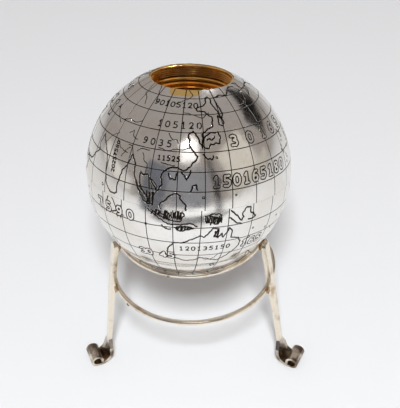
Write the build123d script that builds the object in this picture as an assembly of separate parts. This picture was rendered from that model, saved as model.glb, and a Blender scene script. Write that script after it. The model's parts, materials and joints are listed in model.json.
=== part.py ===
from build123d import *
from math import atan2, cos, degrees, radians, sin, sqrt, tan
import os

# A silver globe pot resting loose in the top ring of a wire tripod.
# Millimetres, +Z up, origin on the floor at the middle of the bounding box.

# Globe: two deep half shells of revolution about a leaning polar axis
GLOBE_R = 32.0            # radius at the equator
GLOBE_C = 32.96           # centre to pole, a little deeper than a true half ball
WALL = 0.85               # thickness of the silver
GILDING = 0.15            # drawn thickness of the gilt lining
SEAM_GAP = 0.02           # each half stops this far short of the seam plane
LEAN = 17.1               # tilt of the polar axis from upright, degrees
LEAN_TOWARDS = 80.2       # compass direction of the lean, degrees from +X

# Joint between the halves
SEAT_R = 31.0             # bore of both halves next to the seam
BEZEL_FIT = 0.05          # running clearance of the bezel in the upper half
BEZEL_WALL = 0.6
BEZEL_UP = 2.9            # bezel height above the seam
BEZEL_DOWN = 2.2          # bezel depth below the seam
SEAT_DEPTH = 3.1          # length of the straight bore in each half

# Neck collar in the mouth at the north pole
MOUTH_R = 12.9            # hole in the upper shell
COLLAR_BORE = 12.25
COLLAR_DEPTH = 4.6
LIP_BORE = 11.75          # inward lip at the foot of the collar
LIP_H = 0.5
COLLAR_SUNK = 0.3         # the rim lies this far below the shell's edge
RECESS_BORE = 12.4        # dark undercut below the lip
SHELF_TOP = 5.8           # depth of the sloping shelf where it leaves the wall
SHELF_FOOT = 6.6          # depth of the shelf at its inner edge
SHELF_BORE = 10.0
SLEEVE_DEPTH = 9.6        # full depth of the collar below its rim

# Stand: two wire rings and three bar legs, hammered flat and wide at the foot
WIRE_R = 0.88
UPPER_RING_R = 24.2
LOWER_RING_R = 26.9
BAR_T = 1.65              # thickness of a leg between the rings
BAR_T_LOW = 1.2           # thickness where the foot's bend starts
BAR_W_TOP = 2.9
BAR_W_LOW = 2.0           # width just above the foot
FOOT_T = 0.8
FOOT_W = 6.9              # the bar spreads to this width before it rolls up
SOLDER_GAP = 0.12         # film of solder between a wire and a leg
LEG_DIRECTIONS = {"leg_front_left": 202.8, "leg_front_right": 337.2, "leg_rear": 90.0}

# Heights above the floor
CENTRE_Z = 73.5           # middle of the globe
UPPER_RING_Z = 50.55
LOWER_RING_Z = 31.93
LEG_TOP_Z = 51.3

# Foot: the bar turns outward in a J and rolls up on itself
ROLL_R = 2.16             # outer radius of the roll
ROLL_TURN = 296.0         # degrees of roll
ROLL_REACH = 37.5         # distance of the roll's middle from the stand's axis
J_OUTER_R = 5.2           # radius of the J's face next to the floor
J_INNER_R = 4.2
LOWER_SLOPE = 0.135       # outward run of a leg per millimetre, below the lower ring
WORN = 0.04               # depth of the flat worn under each foot
FLARE_LOW_Z = 4.5         # the spread is complete here
FLARE_HIGH_Z = 10.8       # the spread starts here

# The stand's axis is behind or before the origin so that the box is centred
POLE = Vector(
    sin(radians(LEAN)) * cos(radians(LEAN_TOWARDS)),
    sin(radians(LEAN)) * sin(radians(LEAN_TOWARDS)),
    cos(radians(LEAN)),
)
SEAT_SHIFT = 0.362        # the oval globe settles this far towards its lean
SHIFT_X = SEAT_SHIFT * cos(radians(LEAN_TOWARDS))
SHIFT_Y = SEAT_SHIFT * sin(radians(LEAN_TOWARDS))
FOOT_BACK = ROLL_REACH + ROLL_R
GLOBE_FRONT = sqrt(GLOBE_R**2 * (1 - POLE.Y**2) + (GLOBE_C * POLE.Y) ** 2) - SHIFT_Y
STAND_Y = (GLOBE_FRONT - FOOT_BACK) / 2
GLOBE_CENTRE = Vector(SHIFT_X, STAND_Y + SHIFT_Y, CENTRE_Z)


def globe_frame():
    """Location whose Z is the globe's polar axis and X leans with it."""
    level = Vector(cos(radians(LEAN_TOWARDS)), sin(radians(LEAN_TOWARDS)), 0)
    sideways = POLE.cross(level).normalized()
    downhill = sideways.cross(POLE).normalized()
    return Plane(origin=GLOBE_CENTRE, x_dir=downhill, z_dir=POLE).location


def oval_radius(a, c, h):
    """Radius at height h of an oval with half-axes a and c."""
    return a * sqrt(1 - (h / c) ** 2)


def oval_height(a, c, r):
    """Height at radius r of the same oval."""
    return c * sqrt(1 - (r / a) ** 2)


def oval_arc(a, c, start, end):
    """Arc of an oval between two (radius, height) points, from start to end."""
    first = degrees(atan2(start[1] / c, start[0] / a))
    last = degrees(atan2(end[1] / c, end[0] / a))
    low, high = min(first, last), max(first, last)
    return EllipticalCenterArc((0, 0), a, c, low, arc_size=high - low)


def spin(edges):
    """Solid of revolution about the polar axis from a closed (r, h) outline."""
    face = Plane.XZ * make_face(edges)
    solid = revolve(face, axis=Axis.Z, revolution_arc=360)
    return globe_frame() * solid


def polygon(points):
    """Closed outline from (r, h) points."""
    return [Line(a, b) for a, b in zip(points, points[1:] + points[:1])]


INNER_A = GLOBE_R - WALL
INNER_C = GLOBE_C - WALL
LINING_A = INNER_A - GILDING
LINING_C = INNER_C - GILDING


def upper_shell():
    foot = (oval_radius(GLOBE_R, GLOBE_C, SEAM_GAP), SEAM_GAP)
    rim_out = (MOUTH_R, oval_height(GLOBE_R, GLOBE_C, MOUTH_R))
    rim_in = (MOUTH_R, oval_height(INNER_A, INNER_C, MOUTH_R))
    seat_top = (oval_radius(INNER_A, INNER_C, SEAT_DEPTH), SEAT_DEPTH)
    seat_edge = (SEAT_R, SEAT_DEPTH)
    return spin([
        oval_arc(GLOBE_R, GLOBE_C, foot, rim_out),
        Line(rim_out, rim_in),
        oval_arc(INNER_A, INNER_C, rim_in, seat_top),
        Line(seat_top, seat_edge),
        Line(seat_edge, (SEAT_R, SEAM_GAP)),
        Line((SEAT_R, SEAM_GAP), foot),
    ])


def lower_shell():
    top = (oval_radius(GLOBE_R, GLOBE_C, SEAM_GAP), -SEAM_GAP)
    seat_low = (oval_radius(INNER_A, INNER_C, SEAT_DEPTH), -SEAT_DEPTH)
    return spin([
        oval_arc(GLOBE_R, GLOBE_C, top, (0, -GLOBE_C)),
        Line((0, -GLOBE_C), (0, -INNER_C)),
        oval_arc(INNER_A, INNER_C, (0, -INNER_C), seat_low),
        Line(seat_low, (SEAT_R, -SEAT_DEPTH)),
        Line((SEAT_R, -SEAT_DEPTH), (SEAT_R, -SEAM_GAP)),
        Line((SEAT_R, -SEAM_GAP), top),
    ])


def upper_lining():
    low = SEAT_DEPTH + 0.3
    out_low = (oval_radius(INNER_A, INNER_C, low), low)
    in_low = (oval_radius(LINING_A, LINING_C, low), low)
    out_high = (MOUTH_R, oval_height(INNER_A, INNER_C, MOUTH_R))
    in_high = (MOUTH_R, oval_height(LINING_A, LINING_C, MOUTH_R))
    return spin([
        oval_arc(INNER_A, INNER_C, out_low, out_high),
        Line(out_high, in_high),
        oval_arc(LINING_A, LINING_C, in_high, in_low),
        Line(in_low, out_low),
    ])


def lower_lining():
    high = -(SEAT_DEPTH + 0.3)
    out_high = (oval_radius(INNER_A, INNER_C, high), high)
    in_high = (oval_radius(LINING_A, LINING_C, high), high)
    return spin([
        oval_arc(INNER_A, INNER_C, out_high, (0, -INNER_C)),
        Line((0, -INNER_C), (0, -LINING_C)),
        oval_arc(LINING_A, LINING_C, (0, -LINING_C), in_high),
        Line(in_high, out_high),
    ])


def bezel():
    """Joint ring soldered into the lower half; the upper half slips over it."""
    free_r = SEAT_R - BEZEL_FIT
    bore = free_r - BEZEL_WALL
    lead = 0.25
    return spin(polygon([
        (SEAT_R, -BEZEL_DOWN),
        (SEAT_R, -SEAM_GAP),
        (free_r, -SEAM_GAP),
        (free_r, BEZEL_UP - lead),
        (free_r - lead, BEZEL_UP),
        (bore, BEZEL_UP),
        (bore, -BEZEL_DOWN),
    ]))


def neck_collar():
    """Gilt collar soldered into the mouth: a bore with a lip, then a sloping shelf and a bore."""
    shell_top = oval_height(GLOBE_R, GLOBE_C, MOUTH_R)
    top = shell_top - COLLAR_SUNK
    foot = top - COLLAR_DEPTH
    bevel = 0.18
    return spin(polygon([
        (MOUTH_R, top - SLEEVE_DEPTH),
        (MOUTH_R, top - bevel),
        (MOUTH_R - bevel, top),
        (COLLAR_BORE + bevel, top),
        (COLLAR_BORE, top - bevel),
        (COLLAR_BORE, foot + LIP_H),
        (LIP_BORE, foot + LIP_H),
        (LIP_BORE, foot),
        (RECESS_BORE, foot),
        (RECESS_BORE, top - SHELF_TOP),
        (SHELF_BORE, top - SHELF_FOOT),
        (SHELF_BORE, top - SLEEVE_DEPTH),
    ]))


def wire_ring(radius, height):
    return Pos(0, STAND_Y, height) * Solid.make_torus(radius, WIRE_R)


def leg_knee():
    """Inner face of a leg at the two rings, as (distance from the axis, height) points."""
    off = WIRE_R + SOLDER_GAP
    at_upper = (UPPER_RING_R + off, UPPER_RING_Z)
    at_lower = (LOWER_RING_R + off, LOWER_RING_Z)
    slope = (at_lower[0] - at_upper[0]) / (at_upper[1] - at_lower[1])
    top = (at_upper[0] - slope * (LEG_TOP_Z - at_upper[1]), LEG_TOP_Z)
    return top, at_lower


def leg_face(top, knee, slope, floor_z, bend_r, roll_r):
    """One face of a leg: straight run, knee, J along the floor, roll."""
    bend_z = floor_z + bend_r
    fall = atan2(1, slope)
    bend_x = knee[0] + slope * (knee[1] - bend_z) + bend_r / sin(fall)
    start = 180 + degrees(atan2(slope, 1))
    first = (bend_x + bend_r * cos(radians(start)), bend_z + bend_r * sin(radians(start)))
    roll_z = floor_z + roll_r
    return [
        Line(top, knee),
        Line(knee, first),
        CenterArc((bend_x, bend_z), bend_r, start, 270 - start),
        Line((bend_x, floor_z), (ROLL_REACH, floor_z)),
        CenterArc((ROLL_REACH, roll_z), roll_r, 270, ROLL_TURN),
    ]


def leg_outline():
    """Closed outline of a leg in its own upright plane."""
    top, knee = leg_knee()
    top_away = (top[0] + BAR_T, top[1])
    knee_away = (knee[0] + BAR_T, knee[1])
    thinning = (BAR_T - BAR_T_LOW) / (LOWER_RING_Z - J_OUTER_R)
    floor_z = -WORN
    near_axis = leg_face(top, knee, LOWER_SLOPE, floor_z, J_OUTER_R, ROLL_R)
    away = leg_face(
        top_away, knee_away, LOWER_SLOPE - thinning, floor_z + FOOT_T, J_INNER_R, ROLL_R - FOOT_T)
    end = radians(270 + ROLL_TURN)
    roll_z = floor_z + ROLL_R

    def roll_end(radius):
        return (ROLL_REACH + radius * cos(end), roll_z + radius * sin(end))

    caps = [Line(top, top_away), Line(roll_end(ROLL_R), roll_end(ROLL_R - FOOT_T))]
    return near_axis + away + caps


def leg_front():
    """Front outline of a leg: tapering bar, spread foot, rounded top."""
    top = BAR_W_TOP / 2
    low = BAR_W_LOW / 2
    wide = FOOT_W / 2
    half = [
        (wide, -1),
        (wide, FLARE_LOW_Z),
        (wide * 0.84, FLARE_LOW_Z + 1.3),
        (low * 1.25, FLARE_HIGH_Z - 2.0),
        (low, FLARE_HIGH_Z),
        (top, LEG_TOP_Z - 0.9),
        (top - 0.25, LEG_TOP_Z - 0.3),
        (top - 0.8, LEG_TOP_Z),
    ]
    mirrored = [(-x, z) for x, z in reversed(half)]
    face = Plane.YZ * make_face(Polyline(*half, *mirrored, close=True))
    return extrude(face, amount=60.0)


def leg(direction):
    """One leg: a bar bent in its upright plane and cut to its front outline."""
    section = Plane.XZ * make_face(leg_outline())
    bar = extrude(section, amount=FOOT_W / 2 + 1, both=True)
    above_floor = Pos(0, 0, 50) * Box(200, 200, 100)
    cut = bar & leg_front() & above_floor
    return Pos(0, STAND_Y, 0) * Rot(0, 0, direction) * cut.solid()


def solder_fillet(direction, ring_r, ring_z, ring, bar):
    """Solder that fills the corner between a wire ring and a leg."""
    depth = WIRE_R + SOLDER_GAP + 0.1
    block = Box(depth, BAR_W_TOP + 1.3, 2.3)
    block = fillet(block.edges().filter_by(Axis.X), 0.8)
    placed = Pos(ring_r + WIRE_R + SOLDER_GAP - depth / 2 + 0.2, 0, ring_z - 0.2) * block
    placed = Pos(0, STAND_Y, 0) * Rot(0, 0, direction) * placed
    bead = placed - ring
    bead = bead - bar
    return max(bead.solids(), key=lambda s: s.volume)


def seam_bead(direction, ring_r, ring_z, ring):
    """Lump of solder where the two ends of a ring's wire meet."""
    lump = Pos(ring_r + 0.38, 0, ring_z - 0.38) * Sphere(0.74)
    lump = Pos(0, STAND_Y, 0) * Rot(0, 0, direction) * lump
    return (lump - ring).solid()


def stand_pieces():
    upper = wire_ring(UPPER_RING_R, UPPER_RING_Z)
    lower = wire_ring(LOWER_RING_R, LOWER_RING_Z)
    pieces = {"upper_ring": upper, "lower_ring": lower}
    for name, direction in LEG_DIRECTIONS.items():
        bar = leg(direction)
        place = name.replace("leg_", "")
        pieces[name] = bar
        pieces["solder_upper_" + place] = solder_fillet(
            direction, UPPER_RING_R, UPPER_RING_Z, upper, bar)
        pieces["solder_lower_" + place] = solder_fillet(
            direction, LOWER_RING_R, LOWER_RING_Z, lower, bar)
    pieces["seam_bead_upper_ring"] = seam_bead(256.0, UPPER_RING_R, UPPER_RING_Z, upper)
    pieces["seam_bead_lower_ring"] = seam_bead(222.0, LOWER_RING_R, LOWER_RING_Z, lower)
    return pieces


def globe_pieces():
    return {
        "lower_shell": lower_shell(),
        "lower_lining": lower_lining(),
        "bezel": bezel(),
        "upper_shell": upper_shell(),
        "upper_lining": upper_lining(),
        "neck_collar": neck_collar(),
    }


def main():
    os.makedirs("parts", exist_ok=True)
    pieces = {**stand_pieces(), **globe_pieces()}
    for name, shape in pieces.items():
        export_step(shape, "parts/" + name + ".step")
    box = Compound(children=list(pieces.values())).bounding_box()
    print("box", box.min, box.max)
    pole_top = GLOBE_CENTRE + POLE * oval_height(GLOBE_R, GLOBE_C, MOUTH_R)
    print("mouth centre", pole_top, "pole", POLE)


main()
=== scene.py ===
import bpy
import json
import random
from collections import defaultdict
from math import asin, atan2, ceil, cos, degrees, floor, hypot, pi, radians, sin, sqrt, tan
from mathutils import Matrix, Vector
from mathutils.geometry import delaunay_2d_cdt


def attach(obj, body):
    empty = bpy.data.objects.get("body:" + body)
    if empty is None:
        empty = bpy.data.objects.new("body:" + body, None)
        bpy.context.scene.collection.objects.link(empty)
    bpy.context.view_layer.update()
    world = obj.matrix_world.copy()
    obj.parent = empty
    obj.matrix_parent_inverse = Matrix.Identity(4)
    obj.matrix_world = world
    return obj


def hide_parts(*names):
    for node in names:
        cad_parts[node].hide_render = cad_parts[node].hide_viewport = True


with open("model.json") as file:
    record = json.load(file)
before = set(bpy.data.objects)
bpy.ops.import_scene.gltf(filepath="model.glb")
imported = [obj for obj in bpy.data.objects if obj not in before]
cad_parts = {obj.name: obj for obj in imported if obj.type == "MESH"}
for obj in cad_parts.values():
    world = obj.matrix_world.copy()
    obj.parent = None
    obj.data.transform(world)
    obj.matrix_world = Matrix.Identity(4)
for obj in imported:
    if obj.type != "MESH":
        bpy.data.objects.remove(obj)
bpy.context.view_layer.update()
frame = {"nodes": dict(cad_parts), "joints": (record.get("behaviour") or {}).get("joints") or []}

MM = 0.001

# ---------------------------------------------------------------- the globe's own frame
turn = next(j for j in frame["joints"] if j["name"] == "globe_turn")
CENTRE = Vector(turn["pos_m"])
POLE = Vector(turn["axis"]).normalized()
LEVEL = Vector((cos(radians(80.2)), sin(radians(80.2)), 0))
AXIS_X = (LEVEL - POLE * LEVEL.dot(POLE)).normalized()
AXIS_Y = POLE.cross(AXIS_X)
ZERO_MERIDIAN = 66.0          # the map's longitude 0 stands here, degrees from AXIS_X
LOWER_MAP_TURN = -1.7         # the lower half's map does not quite meet the upper one
GLOBE_R, GLOBE_C = 32.0, 32.96
WALL = 0.85
INNER_R, INNER_C = GLOBE_R - WALL, GLOBE_C - WALL
SEAT_R, SEAT_DEPTH = 31.0, 3.1
MOUTH_R = 12.9
SUNK = 0.045                  # the plain surface lies this far inside the outline
MEAN_R = 32.4
DEGREE = radians(MEAN_R)      # millimetres of surface in one degree
WEST, EAST = -30.0, 330.0     # the map is cut open along this meridian


def axis_frame():
    """Matrix from the globe's own frame, in millimetres, to the shared frame."""
    turned = Matrix((AXIS_X, AXIS_Y, POLE)).transposed().to_4x4()
    return Matrix.Translation(CENTRE) @ turned @ Matrix.Scale(MM, 4)


GLOBE_FRAME = axis_frame()


def surface(lon, lat, height, map_turn=0.0):
    """Point of the oval globe, its outward direction, in the globe's own frame."""
    a = radians(ZERO_MERIDIAN + lon + map_turn)
    p = radians(lat)
    out = Vector((cos(p) / GLOBE_R * cos(a), cos(p) / GLOBE_R * sin(a), sin(p) / GLOBE_C)).normalized()
    at = Vector((GLOBE_R * cos(p) * cos(a), GLOBE_R * cos(p) * sin(a), GLOBE_C * sin(p)))
    return at + out * height, out


# ---------------------------------------------------------------- the map
# Longitude and latitude of capes and bays, in whole degrees where the engraver's coasts are fanciful:
# India reaches the equator, and the Sea of Okhotsk runs to a point
ASIA = [
    (160, 61), (156, 61), (153, 60), (150, 60), (151, 56), (152, 52), (152, 49), (150, 47), (149, 50),
    (147, 54), (145, 57), (145, 60), (143, 61), (141, 60), (140, 57), (136, 55), (130, 54), (132, 52),
    (137, 52), (140, 50), (143, 48), (142, 45), (142, 43), (138, 42), (134, 39), (134, 32), (132, 35),
    (131, 38), (128, 41), (126, 40), (125, 39), (126, 35), (127, 32), (129, 30), (131, 28), (130, 26), (128, 25),
    (127, 23), (124, 21), (122, 21), (119, 22), (117, 22), (113, 20), (111, 17), (112, 13), (109, 9),
    (107, 12), (105, 15), (103, 17), (101, 16), (99, 18), (99, 14), (99, 12), (100, 9), (104, 5), (107, 2),
    (104, 2), (100, 6), (98, 10), (96, 14), (95, 18), (95, 21), (92, 25), (90, 20), (89, 18), (87, 15),
    (86, 12), (85, 8), (85, 3), (83, 2), (80, 2), (76, 6), (75, 11), (74, 17), (72, 21), (69, 24), (66, 26),
    (63, 29), (62, 24), (64, 20), (60, 17), (57, 13), (51, 12), (45, 13), (43, 13), (41, 17), (39, 21),
    (36, 26), (35, 29), (34, 28), (33, 30)]
FAR_EAST = [
    (160, 61), (166, 60), (172, 63), (180, 65), (187, 64), (190, 61), (188, 58), (184, 54), (179, 52),
    (172, 52)]
AFRICA_AND_EUROPE = [
    (32.6, 29.9), (34, 26.8), (35.5, 24), (37.2, 21), (37.5, 18.7), (39.5, 15.6), (43.2, 12.4),
    (43.3, 11.5), (45, 10.5), (51.2, 11.8), (50, 8), (47.8, 4.5), (43, 0), (39.5, -4.5), (39.2, -7),
    (40.6, -10.7), (40.6, -15), (36.9, -18), (34.9, -20), (35.5, -23.8), (32.9, -26), (32.5, -28.5),
    (30.5, -31), (27, -33.5), (22, -34.2), (18.4, -34.2), (18.2, -32), (16.5, -28.6), (14.5, -23),
    (12, -17.5), (13.7, -11), (12.3, -6), (9.2, -1), (9.6, 3.8), (5.8, 4.4), (3, 6.3), (-2, 4.8),
    (-7.6, 4.4), (-12, 7.5), (-16.7, 12.5), (-17.4, 14.7), (-16.2, 19), (-16.9, 21.8), (-13.5, 27.7),
    (-9.7, 30), (-9.2, 32.5), (-6, 35.7), (-2, 35.1), (3, 36.8), (10, 37.3), (10.9, 34), (15.2, 32.3),
    (19.5, 30.4), (21.5, 32.9), (28, 31), (32.5, 31.2), (34.3, 31.3), (35.8, 35.5), (36, 36.8),
    (32.5, 36.1), (30.5, 36.8), (27.3, 36.8), (26.3, 39.5), (29.2, 41.2), (33, 42), (36.5, 41.3),
    (41.5, 41.5), (38, 44.4), (37.5, 46.8), (35, 46.2), (33.5, 44.5), (31.5, 46.6), (29.7, 45.2),
    (28, 43.2), (28, 41.5), (26, 40.8), (23.8, 40.5), (23.2, 38), (22.5, 36.6), (21.3, 37.5),
    (19.4, 41), (16, 43.5), (13.6, 45.5), (12.4, 44.5), (14, 42.4), (18.4, 40.2), (16.8, 39.5),
    (16, 38), (14.5, 40.7), (10.5, 42.8), (8.8, 44.4), (6, 43.1), (3.2, 43), (3.2, 41.9), (0, 39.5),
    (-0.3, 38.3), (-2.2, 36.7), (-5.4, 36.1), (-8.9, 37), (-9.4, 38.8), (-8.8, 43), (-1.8, 43.4),
    (-1.2, 46), (-4.6, 48.2), (-1.5, 48.7), (1.5, 50.5), (4.5, 52.5), (8.5, 53.8), (8.2, 56.8),
    (10.6, 57.7), (10.5, 54.5), (14, 54), (18.5, 54.7), (21, 56.5), (24, 57.5), (23.6, 59.2),
    (29.5, 60), (22.5, 60.2), (21.4, 62), (25.2, 65), (22, 65.8), (17.5, 62), (17.3, 60.6),
    (16.5, 57), (14.2, 55.5), (12.8, 56), (11, 59), (7.5, 58), (5, 60), (5.5, 62), (10.5, 64.3),
    (12.6, 66)]
AMERICAS = [
    (-168, 65.7), (-161, 64.5), (-165, 62.5), (-162, 60), (-157.5, 58.8), (-163, 55), (-157, 56.8),
    (-152, 59.5), (-148, 60.3), (-140, 59.7), (-135, 57.5), (-130.5, 54.5), (-127.5, 51),
    (-123.2, 48.8), (-124.5, 46), (-124.2, 41.5), (-122.4, 37.4), (-120.6, 34.6), (-117.2, 32.5),
    (-115, 29.5), (-112.2, 26), (-110, 23), (-111.3, 25.8), (-114.7, 31.6), (-112.2, 28.8),
    (-109.3, 25.8), (-105.6, 22.5), (-105.4, 20.3), (-101.5, 17.6), (-96.5, 15.7), (-94, 16.2),
    (-91.5, 13.9), (-87.6, 12.9), (-85.7, 10), (-83, 8.3), (-80.4, 7.3), (-78.3, 8.5), (-77.4, 6.8),
    (-77.3, 3.9), (-80, 0.8), (-80.9, -2.2), (-81.3, -5), (-79, -8.2), (-76.3, -13.9), (-70.4, -18.3),
    (-70.6, -25), (-71.6, -30), (-73.5, -37.2), (-73.8, -42), (-75.5, -47), (-73.5, -52.5),
    (-68.5, -55.6), (-65.2, -54.7), (-68.4, -52.3), (-69, -50.5), (-65.8, -47.8), (-67.4, -45.8),
    (-64, -42.5), (-65, -41), (-62.2, -39), (-57.6, -38), (-57, -36.3), (-58.4, -34.2), (-54.5, -34.8),
    (-51, -31.3), (-48.6, -28), (-46.5, -24.2), (-42, -22.9), (-39.3, -18), (-38.7, -13.2),
    (-35, -8.5), (-35.4, -5.3), (-39.5, -3), (-44.5, -2.7), (-48.5, -0.8), (-50, 1.5), (-52, 4.8),
    (-57.5, 6.2), (-61.7, 9.7), (-64.5, 10.3), (-68, 10.7), (-71.5, 12.3), (-72, 11), (-75.3, 10.7),
    (-77, 8.6), (-79.5, 9.5), (-82, 9), (-83.6, 11), (-83.3, 15), (-88.5, 15.9), (-87.6, 18.5),
    (-87.1, 21.5), (-90.4, 21.1), (-91.4, 18.8), (-94.5, 18.2), (-97.2, 20.5), (-97.7, 24),
    (-97.2, 27.7), (-94.5, 29.4), (-90, 29.2), (-87.5, 30.3), (-84, 30), (-82.7, 27.8), (-81, 25.2),
    (-80.2, 26.8), (-81.4, 30.5), (-78.8, 33.7), (-75.6, 35.3), (-76.2, 37.5), (-74, 40.5),
    (-70.2, 41.8), (-70.5, 43.2), (-66.9, 44.8), (-64.8, 46), (-61, 45.5), (-64.5, 47.8), (-65, 49.2),
    (-66, 50.2), (-60, 50.2), (-56, 52), (-58, 54.8), (-62, 57.5), (-64.8, 60.3), (-69.5, 58.9),
    (-70, 61), (-73.5, 62.4), (-78, 62.4), (-77.5, 60), (-76.6, 57), (-79.5, 54.7), (-79, 51.5),
    (-82.3, 53), (-82.3, 55.2), (-88, 56.5), (-92.5, 57), (-94.5, 60), (-92, 62.8), (-87.5, 64.5),
    (-86.5, 66)]
AUSTRALIA = [
    (120, -20), (125, -20), (131, -17), (135, -15), (137, -16), (139, -14), (142, -10), (145, -11),
    (143, -15), (145, -17), (147, -14), (148, -17), (150, -14), (151, -11), (153, -14), (153, -18),
    (158, -19), (160, -22), (160, -25), (158, -28), (155, -31), (149, -36), (144, -35), (140, -33),
    (136, -32), (133, -34), (127, -35), (121, -33), (118, -30), (116, -27), (117, -24), (119, -22),
    (120, -20)]
ANTARCTICA = [
    (-180, -78), (-160, -77.5), (-140, -74.5), (-105, -74.5), (-75, -72.5), (-66, -66), (-58, -63.5),
    (-61, -69), (-62, -75), (-35, -78), (-20, -73), (0, -69.7), (30, -69.5), (55, -66.5), (75, -69.5),
    (90, -66.5), (115, -66.5), (135, -66), (150, -68.5), (170, -72), (165, -77.5), (180, -78)]
ISLANDS = [
    [(-5, 50), (1, 51), (1, 53), (-1, 55), (-3, 58), (-5, 57), (-3, 54), (-5, 52), (-5, 50)],
    [(-6, 52), (-6, 55), (-10, 54), (-10, 52), (-6, 52)],
    [(-24, 66), (-22, 64), (-18, 63), (-14, 65)],
    [(134, 34), (135, 37), (136, 38), (140, 40), (145, 40), (146, 38), (145, 34), (139, 34), (138, 32),
     (136, 32), (134, 34)],
    [(137, 36), (139, 37), (140, 36), (142, 38)],
    [(148, 49), (151, 46), (150, 43), (147, 44), (148, 49)],
    [(134, 29), (136, 27), (139, 26), (140, 28)],
    [(115, 19), (116, 16), (119, 16), (120, 20)],
    [(122, 20), (125, 16), (127, 21)],
    [(127, 10), (128, 13), (130, 14), (131, 11)],
    [(112, 0), (111, 2), (114, 5), (117, 8), (120, 9), (122, 8), (122, 6), (125, 3), (125, 0)],
    [(112, -1), (115, -3), (119, -6), (124, -6), (126, -3), (125, -1)],
    [(106, -1), (111, -4), (117, -8), (122, -8), (129, -7), (133, -9)],
    [(108, -1), (113, -4), (118, -6)],
    [(114, -9), (116, -11), (119, -11)],
    [(121, -10), (124, -12), (128, -11), (131, -10), (128, -9), (124, -9), (121, -10)],
    [(137, -3), (140, -2), (144, -2), (146, -3), (146, -6), (143, -8), (140, -7), (137, -6), (137, -3)],
    [(139, -3), (143, -4), (141, -6)],
    [(151, -1), (153, -3), (156, -6), (158, -8), (159, -6), (158, -4), (160, -1), (163, -1), (163, -4),
     (165, -5), (167, -7), (165, -8), (162, -8)],
    [(150, -5), (153, -7), (155, -9), (158, -10)],
    [(80, -1), (78, -5), (81, -8), (83, -9), (86, -7), (85, -4), (83, -1)],
    [(145, -41), (148, -41), (148, -43), (146, -43), (145, -41)],
    [(173, -35), (178, -38), (175, -41), (174, -38), (173, -35)],
    [(173, -41), (174, -42), (171, -44), (169, -47), (167, -46), (170, -43), (173, -41)],
    [(49, -12), (50, -15), (47, -25), (44, -22), (44, -17), (49, -12)],
    [(-56, 51), (-53, 47), (-59, 48), (-56, 51)],
    [(-85, 22), (-80, 23), (-74, 20), (-77, 20), (-85, 22)],
    [(-74, 19), (-70, 20), (-68, 18), (-74, 19)],
    [(-52, 66), (-50, 63), (-45, 60), (-41, 63), (-35, 66)],
    [(-61, 66), (-65, 62), (-72, 63), (-78, 65)],
    [(47, 45), (51, 47), (53, 45), (51, 44), (54, 40), (54, 37), (50, 37), (49, 41), (47, 45)],
    [(58, 44), (60, 46), (61, 44), (58, 44)]]
# Rivers and mountain chains, finer lines
RIVERS = [
    [(84, 35), (87, 37), (88, 34), (92, 33)],
    [(98, 27), (100, 23), (102, 22), (102, 17)],
    [(112, 39), (115, 36), (118, 36), (119, 34)],
    [(107, 31), (112, 30), (116, 31), (121, 31), (127, 32)],
    [(110, 24), (114, 23), (118, 23)],
    [(87, 29), (90, 29), (92, 25)],
    [(84, 22), (86, 26), (89, 28)],
    [(94, 27), (97, 29), (102, 29)],
    [(73, 40), (79, 42), (84, 41), (90, 43)],
    [(70, 66), (74, 58), (80, 56), (83, 52)],
    [(84, 66), (90, 60), (93, 55)],
    [(124, 66), (128, 62), (120, 59), (112, 56)],
    [(141, 51), (135, 48), (128, 50), (121, 51)],
    [(67, 25), (71, 30), (76, 33)],
    [(77, 30), (82, 26), (88, 25)],
    [(97, 13), (99, 9), (103, 4)],
    [(100, 11), (102, 7), (106, 3)],
    [(105, 14), (107, 9), (107, 4)],
    [(104, 16), (105, 10), (105, 7)],
    [(106, 15), (109, 12), (108, 7)],
    [(48, 46), (46, 49), (49, 53), (48, 56), (38, 57)],
    [(60, 45), (66, 41), (72, 38)],
    [(31, 31), (33, 25), (31, 20), (34, 17), (32, 9), (32, 1)],
    [(12, -6), (17, -2), (21, 2), (25, 0), (26, -6)],
    [(6, 5), (6, 9), (1, 14), (-5, 15), (-10, 10)],
    [(36, -18), (30, -16), (24, -18)],
    [(-50, 0), (-55, -2), (-60, -3), (-70, -4)],
    [(-58, -34), (-60, -27), (-56, -20)],
    [(-62, 9), (-67, 7), (-67, 3)],
    [(-89, 29), (-91, 34), (-90, 40), (-94, 46)],
    [(-90, 39), (-97, 41), (-104, 48), (-111, 46)],
    [(-115, 32), (-111, 36), (-108, 39)],
    [(-70, 47), (-76, 44), (-83, 43), (-88, 48)],
    [(-72, -46), (-70, -32), (-68, -20), (-76, -10), (-79, -2), (-75, 6)],
    [(139, -35), (144, -34), (149, -29)]]
ISLETS = [(197 + 3 * sin(i), 31 - 2 * i) for i in range(10)] + [
    (204, 20), (178, -18), (188, -14), (185, -21), (167, -15), (166, -21), (211, -18), (269, -1), (220, -9),
    (57, -20), (55, -21), (55, -5), (73, 4), (105, -10), (332, 38), (344, 28), (336, 15), (300, -52),
    (142, 27), (145, 15), (134, 7), (152, 7)]
# Patches shaded with close strokes: west, east, south, north, number of strokes
SHADED = [
    (109, 113, -4, -1, 5), (115, 121, -5, -1, 8), (121, 125, -5, -1, 7), (121, 128, -11, -9, 8),
    (140, 146, -8, -4, 8), (137, 140, -7, -4, 4), (143, 145, -16, -12, 3), (104, 108, 1, 8, 5)]


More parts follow.
